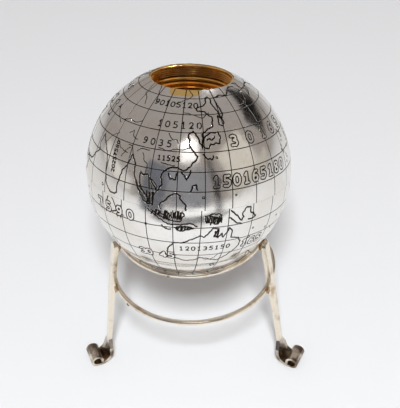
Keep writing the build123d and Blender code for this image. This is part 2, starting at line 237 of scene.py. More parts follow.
# ---------------------------------------------------------------- numerals
# Each figure is drawn in a box 4 wide and 6 high
FIGURES = {
    "0": [[(2, 0), (0.7, 0.6), (0.1, 2), (0.1, 4), (0.7, 5.4), (2, 6), (3.3, 5.4), (3.9, 4), (3.9, 2),
           (3.3, 0.6), (2, 0)]],
    "1": [[(0.9, 4.7), (2.1, 6), (2.1, 0)], [(0.9, 0), (3.3, 0)]],
    "2": [[(0.3, 4.6), (0.9, 5.7), (2.1, 6), (3.3, 5.6), (3.7, 4.4), (3.2, 3.1), (0.2, 0), (3.9, 0)]],
    "3": [[(0.3, 5.6), (2, 6), (3.5, 5.2), (3.4, 3.8), (1.7, 3.2), (3.5, 2.6), (3.8, 1.3), (2.7, 0.1),
           (0.2, 0.4)]],
    "4": [[(2.9, 0), (2.9, 6), (0.1, 1.8), (4, 1.8)]],
    "5": [[(3.6, 6), (0.7, 6), (0.5, 3.4), (2.3, 3.7), (3.7, 2.8), (3.7, 1.1), (2.5, 0), (0.2, 0.4)]],
    "6": [[(3.4, 5.7), (1.9, 5.6), (0.5, 3.9), (0.2, 1.7), (1.1, 0.1), (2.9, 0.1), (3.8, 1.6), (3, 3.1),
           (1.4, 3.2), (0.3, 2)]],
    "7": [[(0.1, 6), (3.9, 6), (1.5, 0)]],
    "8": [[(2, 3.2), (0.6, 4.1), (0.7, 5.5), (2, 6), (3.3, 5.5), (3.4, 4.1), (2, 3.2), (0.3, 2), (0.5, 0.5),
           (2, 0), (3.5, 0.5), (3.7, 2), (2, 3.2)]],
    "9": [[(0.6, 0.3), (2.1, 0.4), (3.5, 2.1), (3.8, 4.3), (2.9, 5.9), (1.1, 5.9), (0.2, 4.4), (1, 2.9),
           (2.6, 2.8), (3.7, 4)]]}
# Text, middle longitudes, latitude, height in degrees, and how it is cut; the figures that read up a meridian
# are in the list below
RAISED, OUTLINE, CUT = "raised", "outline", "cut"
NUMBERS = [
    ("150165180", [141 + 6 * i for i in range(9)], 14.8, 5.2, RAISED),
    ("30165", [155, 167.5, 180, 191, 203], 34.6, 5.2, RAISED),
    ("90105120", [93.5 + 5.3 * i for i in range(8)], 55.6, 3.1, CUT),
    ("105120", [104 + 5.7 * i for i in range(6)], 43.9, 3.3, CUT),
    ("9035", [97.5, 102.7, 108, 113.3], 33.6, 3.2, CUT),
    ("11525", [108.5, 111.3, 114.1, 116.9, 119.7], 26.3, 2.4, CUT),
    ("7590", [72, 79.5, 88, 95.5], -7.2, 5.0, OUTLINE),
    ("30", [99.6, 103.6], -31, 4.4, OUTLINE),
    ("45", [113, 118], -31, 4.4, OUTLINE),
    ("120135150", [124.5 + 3.5 * i for i in range(9)], -24.2, 2.9, CUT),
    ("165", [164, 169.5, 175], -24.5, 4.6, OUTLINE),
    ("304560", [312, 319, -25, -19, -13, -7], 24.6, 4.6, RAISED),
    ("15", [318, 324], -14.5, 4.6, RAISED),
    ("210225240", [208 + 7 * i for i in range(9)], -4.8, 4.6, RAISED),
    ("210225", [210 + 7 * i for i in range(6)], 24.8, 4.6, RAISED),
    ("255270", [254 + 4 * i for i in range(6)], 43.8, 3.0, CUT),
    ("300315", [297 + 3.4 * i for i in range(6)], -14.8, 2.8, CUT),
    ("15304", [10 + 5 * i for i in range(5)], 13.8, 3.0, CUT),
    ("3045", [22, 29, 36, 43], 54.8, 3.0, CUT),
    ("4560", [48, 56, 64, 72], -34.6, 4.6, OUTLINE),
    ("240255270", [240 + 7 * i for i in range(9)], -44.8, 4.6, OUTLINE)]
UPRIGHT_NUMBERS = [("20257580", 80.2, 13.5, 2.1, 2.3)]


# ---------------------------------------------------------------- cut and raised lines
class Line:
    """A line of the map, and the kind of cut that makes it."""

    def __init__(self, points, kind):
        self.points = points
        self.kind = kind


# Half width and depth of the cut, width and height of the burr beside it, in millimetres
SECTIONS = {
    "grid": (0.15, 0.14, 0.0, 0.0),
    "coast": (0.24, 0.22, 0.24, 0.085),
    "river": (0.14, 0.13, 0.14, 0.03),
    "figure": (0.2, 0.19, 0.16, 0.04),
    "shade": (0.26, 0.2, 0.0, 0.0)}
PLATE, MOAT = 0.27, 0.2       # half width of a raised stroke, half width of the cut round it
MOAT_DEPTH = 0.18


def smooth(points, step, rng, wobble):
    """Points every step or so along a line, with a shaky hand's wander."""
    result = [points[0]]
    for (lon0, lat0), (lon1, lat1) in zip(points, points[1:]):
        squeeze = cos(radians((lat0 + lat1) / 2))
        run, rise = (lon1 - lon0) * squeeze, lat1 - lat0
        length = hypot(run, rise)
        pieces = max(1, ceil(length / step))
        shift = 0.0
        for i in range(1, pieces):
            shift = 0.5 * shift + rng.uniform(-1, 1) * wobble
            t = i / pieces
            limit = shift * min(1, 4 * t * (1 - t) + 0.3)
            across = (-rise / length * limit, run / length * limit)
            result.append((lon0 + (lon1 - lon0) * t + across[0] / squeeze, lat0 + rise * t + across[1]))
        result.append((lon1, lat1))
    return result


def coast_lines(rng):
    lines = []
    for points in [ASIA, FAR_EAST, AFRICA_AND_EUROPE, AMERICAS, AUSTRALIA, ANTARCTICA] + ISLANDS:
        lines.append(Line(smooth(points, 0.8, rng, 0.34), "coast"))
    for lon, lat in ISLETS:
        size = rng.uniform(0.45, 0.8)
        squeeze = cos(radians(lat))
        ring = []
        for i in range(6):
            reach = size * rng.uniform(0.7, 1.2)
            ring.append((lon + reach * cos(i * pi / 3) / squeeze, lat + reach * sin(i * pi / 3)))
        lines.append(Line(ring + ring[:1], "river"))
    for points in RIVERS:
        lines.append(Line(smooth(points, 1.1, rng, 0.3), "river"))
    for west, east, south, north, count in SHADED:
        for i in range(count):
            lon = west + (east - west) * (i + rng.uniform(0.2, 0.8)) / count
            low, high = south + rng.uniform(-0.6, 0.9), north + rng.uniform(-0.9, 0.6)
            stroke = [(lon - rng.uniform(-0.5, 0.9), low), (lon + rng.uniform(-0.5, 0.9), high)]
            lines.append(Line(smooth(stroke, 0.7, rng, 0.3), "shade"))
    return lines


def grid_lines(low, high):
    lines = []
    for lon in range(-30, 331, 15):
        stop = max(low, -80)
        count = int((high - stop) / 2.5)
        lines.append(Line([(lon, stop + (high - stop) * i / count) for i in range(count + 1)], "grid"))
    for lat in range(-80, 70, 10):
        if low < lat < high and lat != 0:
            step = 2.5 if abs(lat) < 70 else 5
            count = int(360 / step)
            lines.append(Line([(WEST + step * i, lat) for i in range(count + 1)], "grid"))
    return lines


def figure_strokes(digit, lon, lat, height, upright):
    """Strokes of one figure about its middle, laid on the map."""
    scale = height / 6
    strokes = []
    for stroke in FIGURES[digit]:
        laid = []
        for across, up in stroke:
            east, north = (across - 2) * scale, (up - 3) * scale
            if upright:
                east, north = -north, east
            laid.append((lon + east / cos(radians(lat)), lat + north))
        strokes.append(laid)
    return strokes


def number_lines():
    lines = []
    for text, places, lat, height, style in NUMBERS:
        for digit, lon in zip(text, places):
            for stroke in figure_strokes(digit, lon, lat, height, False):
                lines.append(Line(stroke, "figure" if style == CUT else "raised"))
    for text, lon, lat, step, height in UPRIGHT_NUMBERS:
        for i, digit in enumerate(text):
            for stroke in figure_strokes(digit, lon - 0.25 * i, lat + step * i, height, True):
                lines.append(Line(stroke, "figure"))
    return lines


def section_offsets(kind):
    if kind == "raised":
        return [PLATE, PLATE + MOAT, PLATE + 2 * MOAT]
    half, _, burr, _ = SECTIONS[kind]
    return [half, half + burr] if burr else [half]


def height_at(kind, distance):
    """Height of a line's section, and how dark the metal is, at a distance in millimetres."""
    if kind == "raised":
        into = abs(distance - PLATE - MOAT)
        if into >= MOAT:
            return 0.0, 0.0
        return -MOAT_DEPTH * (1 - into / MOAT), 1 - into / MOAT
    half, depth, burr, lip = SECTIONS[kind]
    if distance < half:
        t = distance / half
        return -depth + (depth + lip) * t, 1 - t
    if burr and distance < half + burr:
        return lip * (1 - (distance - half) / burr), 0.0
    return 0.0, 0.0


# ---------------------------------------------------------------- flat plan of one half
def side_line(points, offset):
    """The line moved sideways, offset in degrees of arc."""
    result = []
    last = len(points) - 1
    for i, (lon, lat) in enumerate(points):
        before, after = points[max(i - 1, 0)], points[min(i + 1, last)]
        squeeze = cos(radians(lat))
        run, rise = (after[0] - before[0]) * squeeze, after[1] - before[1]
        length = hypot(run, rise) or 1.0
        result.append((lon - rise / length * offset / squeeze, lat + run / length * offset))
    return result


def tip(points, offset, at_end):
    (lon0, lat0), (lon1, lat1) = (points[-2], points[-1]) if at_end else (points[1], points[0])
    squeeze = cos(radians(lat1))
    run, rise = (lon1 - lon0) * squeeze, lat1 - lat0
    length = hypot(run, rise) or 1.0
    return (lon1 + run / length * offset / squeeze, lat1 + rise / length * offset)


def edge_loop(points, offset):
    left = side_line(points, offset)
    right = side_line(points, -offset)
    loop = left + [tip(points, offset, True)] + right[::-1] + [tip(points, offset, False)]
    return loop + loop[:1]


def clip(a, b, low, high):
    """The part of segment a-b inside the map's edges, or None."""
    t0, t1 = 0.0, 1.0
    for axis, lowest, highest in ((0, WEST, EAST), (1, low, high)):
        step = b[axis] - a[axis]
        if abs(step) < 1e-12:
            if a[axis] < lowest or a[axis] > highest:
                return None
            continue
        ts = sorted(((lowest - a[axis]) / step, (highest - a[axis]) / step))
        t0, t1 = max(t0, ts[0]), min(t1, ts[1])
        if t0 >= t1:
            return None
    at = lambda t: (a[0] + (b[0] - a[0]) * t, a[1] + (b[1] - a[1]) * t)
    return at(t0), at(t1)


GRAIN = 2000                  # points of the plan lie on a grid this fine in one degree


class Plan:
    """Vertices and fixed edges of one half's map, before it is meshed."""

    def __init__(self, low, high):
        self.low, self.high = low, high
        self.points, self.index, self.edges = [], {}, []

    def point(self, at):
        key = (round(at[0] * GRAIN), round(at[1] * GRAIN))
        if key not in self.index:
            self.index[key] = len(self.points)
            self.points.append(Vector((key[0] / GRAIN, key[1] / GRAIN)))
        return self.index[key]

    def chain(self, points):
        for shift in (-360, 0, 360):
            for (x0, y0), (x1, y1) in zip(points, points[1:]):
                part = clip((x0 + shift, y0), (x1 + shift, y1), self.low, self.high)
                if part:
                    a, b = self.point(part[0]), self.point(part[1])
                    if a != b:
                        self.edges.append((a, b))


def plan_half(lines, low, high):
    plan = Plan(low, high)
    for line in lines:
        if line.kind != "raised":
            plan.chain(line.points)
        for offset in section_offsets(line.kind):
            if line.kind == "raised":
                for a, b in zip(line.points, line.points[1:]):
                    plan.chain(capsule(a, b, offset / DEGREE))
            else:
                plan.chain(edge_loop(line.points, offset / DEGREE))
    for x in (WEST, EAST):
        plan.chain([(x, low + (high - low) * i / 40) for i in range(41)])
    for y in (low, high):
        plan.chain([(WEST + 2.5 * i, y) for i in range(145)])
    row = low + 1.25
    while row < high - 0.6:
        step = 2.5 if abs(row) < 60 else 5.0 if abs(row) < 78 else 10.0
        x = WEST + step / 2
        while x < EAST:
            plan.point((x, row))
            x += step
        row += 2.5
    return plan


def capsule(a, b, offset):
    """Outline of a round-ended stroke."""
    squeeze = cos(radians((a[1] + b[1]) / 2))
    along = atan2(b[1] - a[1], (b[0] - a[0]) * squeeze)
    loop = []
    for centre, start in ((b, along - pi / 2), (a, along + pi / 2)):
        for i in range(4):
            angle = start + pi * i / 3
            loop.append((centre[0] + offset * cos(angle) / squeeze, centre[1] + offset * sin(angle)))
    return loop + loop[:1]


# ---------------------------------------------------------------- heights
class Heights:
    """Looks up the engraved height anywhere on one half."""

    REACH = 1.7

    def __init__(self, lines):
        self.bins = defaultdict(list)
        for line in lines:
            for shift in (-360, 0, 360):
                for (x0, y0), (x1, y1) in zip(line.points, line.points[1:]):
                    self.add(line.kind, x0 + shift, y0, x1 + shift, y1)

    def add(self, kind, x0, y0, x1, y1):
        if max(x0, x1) < WEST - 5 or min(x0, x1) > EAST + 5:
            return
        squeeze = max(0.08, cos(radians(max(abs(y0), abs(y1)))))
        wide = self.REACH / squeeze
        segment = (kind, x0, y0, x1, y1)
        for i in range(floor((min(x0, x1) - wide) / 3), floor((max(x0, x1) + wide) / 3) + 1):
            for j in range(floor((min(y0, y1) - self.REACH) / 3), floor((max(y0, y1) + self.REACH) / 3) + 1):
                self.bins[i, j].append(segment)

    def at(self, lon, lat):
        squeeze = cos(radians(lat))
        nearest = {}
        for kind, x0, y0, x1, y1 in self.bins.get((floor(lon / 3), floor(lat / 3)), ()):
            ax, ay = (x0 - lon) * squeeze, y0 - lat
            bx, by = (x1 - x0) * squeeze, y1 - y0
            size = bx * bx + by * by
            t = min(1.0, max(0.0, -(ax * bx + ay * by) / size)) if size else 0.0
            d = hypot(ax + bx * t, ay + by * t) * DEGREE
            if d < nearest.get(kind, 9.0):
                nearest[kind] = d
        if nearest.get("raised", 9.0) < PLATE:
            return 0.0, 0.0
        low, high, dark = 0.0, 0.0, 0.0
        for kind, d in nearest.items():
            height, shade = height_at(kind, d)
            low, high, dark = min(low, height), max(high, height), max(dark, shade)
        return (low, dark) if low < 0 else (high, dark)


# ---------------------------------------------------------------- the shell meshes
class Shell:
    """Vertices, faces and face kinds of one half while it is put together."""

    def __init__(self):
        self.points, self.normals, self.dark = [], [], []
        self.faces, self.cut = [], []

    def add(self, at, normal, dark=0.0):
        self.points.append(at)
        self.normals.append(normal)
        self.dark.append(dark)
        return len(self.points) - 1

    def face(self, corners, plain=True):
        self.faces.append(corners)
        self.cut.append(not plain)

    def zip_rings(self, first, second, flip):
        """Joins two closed rings, each a list of (angle, vertex) sorted by angle."""
        i = j = 0
        n, m = len(first), len(second)
        while i < n or j < m:
            next_i = first[(i + 1) % n][0] + (2 * pi if i + 1 >= n else 0) if i < n else 99
            next_j = second[(j + 1) % m][0] + (2 * pi if j + 1 >= m else 0) if j < m else 99
            a, b = first[i % n][1], second[j % m][1]
            if next_i <= next_j:
                tri = (a, first[(i + 1) % n][1], b)
                i += 1
            else:
                tri = (a, second[(j + 1) % m][1], b)
                j += 1
            self.face(tri[::-1] if flip else tri, False)


def ring_of(shell, picked):
    return sorted((atan2(shell.points[v].y, shell.points[v].x) % (2 * pi), v) for v in picked)


def lathe_inside(shell, profile, count=180):
    """Rows of the inner side; returns the first and last rows as rings."""
    rows = []
    for i, (r, z) in enumerate(profile):
        r0, z0 = profile[max(i - 1, 0)]
        r1, z1 = profile[min(i + 1, len(profile) - 1)]
        run = Vector((z0 - z1, r1 - r0)).normalized()
        if r < 1e-6:
            rows.append([shell.add(Vector((0, 0, z)), Vector((0, 0, run.y)))])
            continue
        row = []
        for k in range(count):
            a = 2 * pi * k / count
            normal = Vector((run.x * cos(a), run.x * sin(a), run.y))
            row.append(shell.add(Vector((r * cos(a), r * sin(a), z)), normal))
        rows.append(row)
    for low, high in zip(rows, rows[1:]):
        for k in range(count):
            following = (k + 1) % count
            if len(high) == 1:
                shell.face((low[k], low[following], high[0]), False)
            else:
                shell.face((low[k], low[following], high[following], high[k]), False)
    return rows[0], rows[-1]


def engraved_surface(shell, lines, low, high, map_turn):
    plan = plan_half(lines, low, high)
    verts, _, faces, _, _, _ = delaunay_2d_cdt(plan.points, plan.edges, [], 0, 1e-5, False)
    heights = Heights(lines)
    at_place, used = {}, []
    for v in verts:
        lon = WEST if v.x > EAST - 1e-4 else v.x
        key = (round(lon, 4), round(v.y, 4))
        if key not in at_place:
            height, dark = heights.at(lon, v.y)
            point, normal = surface(lon, v.y, height - SUNK, map_turn)
            at_place[key] = shell.add(point, normal, dark)
        used.append(at_place[key])
    for f in faces:
        corners = [used[i] for i in f]
        if len(set(corners)) < 3:
            continue
        a, b, c = (verts[i] for i in f)
        if (b - a).cross(c - a) < 0:
            corners.reverse()
        darkest = [shell.dark[i] for i in corners]
        flat = max(darkest) < 0.02
        shell.face(tuple(corners), flat)
    rings = []
    for edge in (low, high):
        picked = {used[i] for i, v in enumerate(verts) if abs(v.y - edge) < 1.2 / GRAIN}
        rings.append(ring_of(shell, picked))
    return rings


def finish_shell(shell, name, body, node, material):
    mesh = bpy.data.meshes.new(name)
    mesh.from_pydata([GLOBE_FRAME @ p for p in shell.points], [], shell.faces)
    mesh.materials.append(material)
    shade = mesh.attributes.new("cut_depth", "FLOAT", "POINT")
    shade.data.foreach_set("value", shell.dark)
    mesh.polygons.foreach_set("use_smooth", [True] * len(shell.faces))
    mesh.update()
    turned = GLOBE_FRAME.to_3x3().normalized()
    smooth_normals = [turned @ n for n in shell.normals]
    loop_normals = []
    for poly in mesh.polygons:
        own = poly.normal.copy()
        for v in poly.vertices:
            loop_normals.append(own if shell.cut[poly.index] else smooth_normals[v])
    mesh.normals_split_custom_set(loop_normals)
    item = bpy.data.objects.new(name, mesh)
    bpy.context.collection.objects.link(item)
    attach(item, body)
    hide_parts(node)
    return item


def oval_height(a, c, r):
    return c * sqrt(1 - (r / a) ** 2)


def oval_radius(a, c, h):
    return a * sqrt(1 - (h / c) ** 2)


SEAM_EDGE = 0.03              # the map stops this many degrees short of the seam


def upper_half(lines, material):
    shell = Shell()
    mouth_lat = degrees(asin(oval_height(GLOBE_R, GLOBE_C, MOUTH_R) / GLOBE_C))
    seam, mouth = engraved_surface(shell, lines, SEAM_EDGE, mouth_lat, 0.0)
    profile = [(SEAT_R, 0.02), (SEAT_R, SEAT_DEPTH)]
    for i in range(13):
        z = SEAT_DEPTH + (oval_height(INNER_R, INNER_C, MOUTH_R) - SEAT_DEPTH) * i / 12
        profile.append((oval_radius(INNER_R, INNER_C, z), z))
    first, last = lathe_inside(shell, profile[::-1])
    shell.zip_rings(mouth, ring_of(shell, first), False)
    shell.zip_rings(seam, ring_of(shell, last), True)
    return finish_shell(shell, "engraved_upper_shell", "upper_half", "upper_shell", material)


def lower_half(lines, material):
    shell = Shell()
    foot, seam = engraved_surface(shell, lines, -86.0, -SEAM_EDGE, LOWER_MAP_TURN)
    point, normal = surface(0, -90, -SUNK)
    pole = shell.add(point, normal)
    for (_, a), (_, b) in zip(foot, foot[1:] + foot[:1]):
        shell.face((b, a, pole))
    profile = [(SEAT_R, -0.02), (SEAT_R, -SEAT_DEPTH)]
    for i in range(20):
        angle = asin(SEAT_DEPTH / INNER_C) + (pi / 2 - asin(SEAT_DEPTH / INNER_C)) * i / 20
        profile.append((INNER_R * cos(angle), -INNER_C * sin(angle)))
    profile.append((0, -INNER_C))
    first, _ = lathe_inside(shell, profile)
    shell.zip_rings(seam, ring_of(shell, first), False)
    return finish_shell(shell, "engraved_lower_shell", "lower_half", "lower_shell", material)


# ---------------------------------------------------------------- neck collar
COLLAR_BORE, LIP_BORE, LIP_H = 12.25, 11.75, 0.5
COLLAR_DEPTH, COLLAR_SUNK = 4.6, 0.3
RECESS_BORE, SHELF_TOP, SHELF_FOOT = 12.4, 5.8, 6.6
SHELF_BORE, SLEEVE_DEPTH = 10.0, 9.6
GROOVES, GROOVE_PITCH = 4, 0.66


def collar_profile():
    """Section of the collar as (radius, height), with grooves like a thread cut in its bore."""
    top = oval_height(GLOBE_R, GLOBE_C, MOUTH_R) - COLLAR_SUNK
    foot = top - COLLAR_DEPTH
    outside = MOUTH_R - 0.01
    first_groove = top - 0.75
    points = [(outside, top - SLEEVE_DEPTH), (outside, top - 0.2), (outside - 0.05, top - 0.07),
              (outside - 0.17, top), (COLLAR_BORE + 0.2, top), (COLLAR_BORE + 0.06, top - 0.06),
              (COLLAR_BORE, top - 0.2), (COLLAR_BORE, first_groove)]
    for i in range(GROOVES):
        z = first_groove - i * GROOVE_PITCH
        points += [(COLLAR_BORE + 0.2, z - 0.16), (COLLAR_BORE + 0.2, z - 0.3), (COLLAR_BORE, z - 0.46),
                   (COLLAR_BORE, z - GROOVE_PITCH)]
    lip_top = foot + LIP_H
    points += [(COLLAR_BORE, lip_top), (LIP_BORE + 0.12, lip_top), (LIP_BORE, lip_top - 0.12),
               (LIP_BORE, foot + 0.1), (LIP_BORE + 0.1, foot), (RECESS_BORE, foot),
               (RECESS_BORE, top - SHELF_TOP + 0.2)]
    shelf_r = RECESS_BORE - 0.15
    points.append((shelf_r, top - SHELF_TOP))
    for i in range(1, 6):
        fall = sin(radians(18 * i)) * (SHELF_FOOT - SHELF_TOP)
        points.append((shelf_r - (shelf_r - SHELF_BORE) * i / 5, top - SHELF_TOP - fall))
    points.append((SHELF_BORE, top - SLEEVE_DEPTH))
    return points


def threaded_collar(material, count=160):
    shell = Shell()
    profile = collar_profile()
    rows = []
    for r, z in profile:
        angles = [2 * pi * k / count for k in range(count)]
        rows.append([shell.add(Vector((r * cos(a), r * sin(a), z)), None) for a in angles])
    for low, high in zip(rows, rows[1:] + rows[:1]):
        for k in range(count):
            after = (k + 1) % count
            shell.face((low[k], low[after], high[after], high[k]))
    mesh = bpy.data.meshes.new("threaded_collar")
    mesh.from_pydata([GLOBE_FRAME @ p for p in shell.points], [], shell.faces)
    mesh.materials.append(material)
    mesh.polygons.foreach_set("use_smooth", [True] * len(shell.faces))
    mesh.set_sharp_from_angle(angle=radians(25))
    item = bpy.data.objects.new("threaded_collar", mesh)
    bpy.context.collection.objects.link(item)
    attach(item, "upper_half")
    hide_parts("neck_collar")


# ---------------------------------------------------------------- materials
class Mat:
    """A node material with short ways to add and join nodes."""

    def __init__(self, name, color, metallic, roughness):
        self.material = bpy.data.materials.new(name)
        self.material.use_nodes = True
        self.tree = self.material.node_tree
        self.bsdf = self.tree.nodes["Principled BSDF"]
        self.bsdf.inputs["Base Color"].default_value = (*color, 1)
        self.bsdf.inputs["Metallic"].default_value = metallic
        self.bsdf.inputs["Roughness"].default_value = roughness
        self.coords = self.node("ShaderNodeTexCoord").outputs["Object"]

    def node(self, kind, **values):
        item = self.tree.nodes.new(kind)
        for key, value in values.items():
            setattr(item, key, value)
        return item

    def link(self, output, target):
        self.tree.links.new(output, target)

    def noise(self, per_mm, detail=3.0, rough=0.5, stretch=(1, 1, 1), turn=(0, 0, 0)):
        place = self.node("ShaderNodeMapping")
        place.inputs["Scale"].default_value = [1000 * per_mm * s for s in stretch]
        place.inputs["Rotation"].default_value = turn
        self.link(self.coords, place.inputs["Vector"])
        item = self.node("ShaderNodeTexNoise")
        item.inputs["Scale"].default_value = 1.0
        item.inputs["Detail"].default_value = detail
        item.inputs["Roughness"].default_value = rough
        self.link(place.outputs["Vector"], item.inputs["Vector"])
        return item.outputs["Fac"]

    def spread(self, value, low, high, to_low, to_high):
        item = self.node("ShaderNodeMapRange")
        item.inputs["From Min"].default_value = low
        item.inputs["From Max"].default_value = high
        item.inputs["To Min"].default_value = to_low
        item.inputs["To Max"].default_value = to_high
        self.link(value, item.inputs["Value"])
        return item.outputs["Result"]

    def mix(self, factor, first, second):
        """Mixes two colours; each is a socket or a plain colour."""
        item = self.node("ShaderNodeMix", data_type="RGBA")
        self.link(factor, item.inputs[0])
        for source, socket in ((first, item.inputs[6]), (second, item.inputs[7])):
            if isinstance(source, tuple):
                socket.default_value = (*source, 1)
            else:
                self.link(source, socket)
        return item.outputs[2]

    def math(self, operation, first, second):
        item = self.node("ShaderNodeMath", operation=operation)
        for source, socket in ((first, item.inputs[0]), (second, item.inputs[1])):
            if isinstance(source, (int, float)):
                socket.default_value = source
            else:
                self.link(source, socket)
        return item.outputs[0]

    def attribute(self, name):
        return self.node("ShaderNodeAttribute", attribute_name=name).outputs["Fac"]

    def bump(self, height, depth_mm, before=None):
        item = self.node("ShaderNodeBump")
        item.inputs["Distance"].default_value = depth_mm * MM
        item.inputs["Strength"].default_value = 1.0
        self.link(height, item.inputs["Height"])
        if before:
            self.link(before, item.inputs["Normal"])
        return item.outputs["Normal"]

    def use(self, color=None, roughness=None, normal=None, metallic=None):
        for source, name in ((color, "Base Color"), (roughness, "Roughness"), (normal, "Normal"),
                             (metallic, "Metallic")):
            if source:
                self.link(source, self.bsdf.inputs[name])
        return self.material


SILVER = (0.84, 0.82, 0.785)
WARM_SILVER = (0.72, 0.66, 0.58)
OXIDE = (0.035, 0.028, 0.022)
TARNISH = (0.42, 0.28, 0.14)
GOLD = (0.98, 0.68, 0.26)
WORN_GOLD = (0.86, 0.5, 0.15)


def gilt_edge(m):
    """1 where the mouth's gilding runs over onto the shell, in a short band on its front side."""
    top = oval_height(GLOBE_R, GLOBE_C, MOUTH_R)
    middle = GLOBE_FRAME @ Vector((-MOUTH_R, -0.9, top))
    reach, drop = 5.0 * MM, 0.7
    away = m.node("ShaderNodeVectorMath", operation="DISTANCE")
    m.link(m.coords, away.inputs[0])
    away.inputs[1].default_value = middle
    along = m.node("ShaderNodeVectorMath", operation="DOT_PRODUCT")
    m.link(m.coords, along.inputs[0])
    along.inputs[1].default_value = POLE
    ragged = m.math("MULTIPLY", m.noise(0.7, 4, 0.6), 1.2 * MM)
    near = m.spread(m.math("ADD", away.outputs["Value"], ragged), reach, reach + 0.3 * MM, 1, 0)
    edge = CENTRE.dot(POLE) + (top - drop) * MM
    high = m.spread(m.math("ADD", along.outputs["Value"], ragged), edge, edge + 0.2 * MM, 0, 1)
    return m.math("MULTIPLY", near, high)


def engraved_silver():
    m = Mat("engraved_silver", SILVER, 1, 0.2)
    cut = m.spread(m.attribute("cut_depth"), 0.0, 0.3, 0, 1)
    patches = m.spread(m.noise(0.07, 4, 0.6), 0.42, 0.72, 0, 0.7)
    grime = m.spread(m.noise(0.5, 5, 0.7), 0.55, 0.8, 0, 0.45)
    color = m.mix(patches, SILVER, WARM_SILVER)
    color = m.mix(grime, color, (0.52, 0.45, 0.37))
    color = m.mix(gilt_edge(m), color, GOLD)
    color = m.mix(cut, color, OXIDE)
    smear = m.spread(m.noise(0.22, 4, 0.6), 0.3, 0.75, 0.09, 0.24)
    rough = m.math("ADD", smear, m.math("MULTIPLY", cut, 0.3))
    scratch = m.noise(5.0, 2, 0.5, (1, 1, 0.05), (radians(17), 0, 0))
    rubbed = m.noise(0.35, 2, 0.5)
    normal = m.bump(scratch, 0.0025)
    normal = m.bump(rubbed, 0.012, normal)
    return m.use(color, rough, normal)


def height_above_floor(m):
    apart = m.node("ShaderNodeSeparateXYZ")
    m.link(m.coords, apart.inputs[0])
    return apart.outputs["Z"]


def plain_silver(name, tarnish_low, tarnish_high, dark_near_floor=False):
    """Warm silver with brown tarnish in patches, and, when asked, dark blotches over the lowest parts, the rolls
    of the feet, darker towards the floor.
    """
    m = Mat(name, SILVER, 1, 0.22)
    patches = m.spread(m.noise(0.13, 4, 0.6), tarnish_low, tarnish_high, 0, 1)
    freckles = m.spread(m.noise(0.9, 4, 0.7), 0.6, 0.78, 0, 0.5)
    color = m.mix(patches, (0.88, 0.8, 0.67), TARNISH)
    color = m.mix(freckles, color, (0.25, 0.16, 0.1))
    if dark_near_floor:
        # Darker towards the floor: the blotches fade in below 10 mm and are full below 5 mm.
        low = m.spread(height_above_floor(m), 5 * MM, 10 * MM, 1, 0)
        blotches = m.spread(m.noise(0.22, 3, 0.5), 0.36, 0.56, 0.1, 0.92)
        color = m.mix(m.math("MULTIPLY", low, blotches), color, (0.12, 0.07, 0.045))
    rough = m.spread(m.noise(0.5, 4, 0.6), 0.3, 0.7, 0.1, 0.26)
    normal = m.bump(m.noise(2.2, 2, 0.5, (1, 1, 0.1)), 0.0015)
    normal = m.bump(m.noise(0.3, 2, 0.5), 0.012, normal)
    return m.use(color, rough, normal)


def solder_silver():
    m = Mat("solder", WARM_SILVER, 1, 0.35)
    burnt = m.spread(m.noise(0.5, 4, 0.6), 0.35, 0.62, 0, 1)
    color = m.mix(burnt, (0.7, 0.5, 0.28), (0.26, 0.14, 0.06))
    rough = m.spread(m.noise(1.2, 3, 0.6), 0.3, 0.7, 0.22, 0.5)
    return m.use(color, rough, m.bump(m.noise(1.4, 3, 0.6), 0.1))


def gilt(name, metallic, smoothest, roughest):
    m = Mat(name, GOLD, metallic, 0.2)
    worn = m.spread(m.noise(0.25, 4, 0.6), 0.42, 0.7, 0, 1)
    spots = m.spread(m.noise(1.6, 4, 0.7), 0.62, 0.8, 0, 0.7)
    color = m.mix(worn, GOLD, WORN_GOLD)
    color = m.mix(spots, color, (0.12, 0.06, 0.02))
    rough = m.spread(m.noise(0.6, 4, 0.6), 0.3, 0.7, smoothest, roughest)
    return m.use(color, rough, m.bump(m.noise(0.9, 3, 0.5), 0.012))


# ---------------------------------------------------------------- stage and light
def camera():
    """Long lens, looking down at the globe from between the two front legs."""
    distance = 352.0 * MM
    azimuth, elevation, roll = radians(3.84), radians(41.15), radians(2.39)
    back = Vector((cos(elevation) * sin(azimuth), -cos(elevation) * cos(azimuth), sin(elevation)))
    right = Vector((cos(azimuth), sin(azimuth), 0))
    up = back.cross(right)
    rolled_right = right * cos(roll) - up * sin(roll)
    rolled_up = right * sin(roll) + up * cos(roll)
    aim = CENTRE + rolled_right * 3.5 * MM - rolled_up * 11.2 * MM
    data = bpy.data.cameras.new("camera")
    data.lens = 99.07
    data.sensor_width = 36.0
    data.clip_start = 0.01
    item = bpy.data.objects.new("camera", data)
    bpy.context.collection.objects.link(item)
    turn_to = Matrix((rolled_right, rolled_up, back)).transposed().to_4x4()
    item.matrix_world = Matrix.Translation(aim + back * distance) @ turn_to
    bpy.context.scene.camera = item


def heading(azimuth, elevation):
    """Direction from the globe; azimuth 0 is towards the camera's side, positive to its right."""
    a, e = radians(azimuth), radians(elevation)
    return Vector((cos(e) * sin(a), -cos(e) * cos(a), sin(e)))


def facing(direction):
    return (-direction).to_track_quat("-Z", "Y").to_matrix().to_4x4()


def plane(name, width, height, color, at, turned=None):
    mesh = bpy.data.meshes.new(name)
    w, h = width / 2, height / 2
    mesh.from_pydata([(-w, -h, 0), (w, -h, 0), (w, h, 0), (-w, h, 0)], [], [(0, 1, 2, 3)])
    item = bpy.data.objects.new(name, mesh)
    item.matrix_world = Matrix.Translation(at) @ (turned or Matrix())
    bpy.context.collection.objects.link(item)
    mat = Mat(name, color, 0, 0.75)
    mesh.materials.append(mat.material)
    return item


def hide(item, **kinds):
    """Lets a stage object into only the given kinds of light path, and keeps it out of the rest."""
    for kind in ("camera", "diffuse", "shadow", "glossy"):
        setattr(item, "visible_" + kind, kinds.get(kind, False))


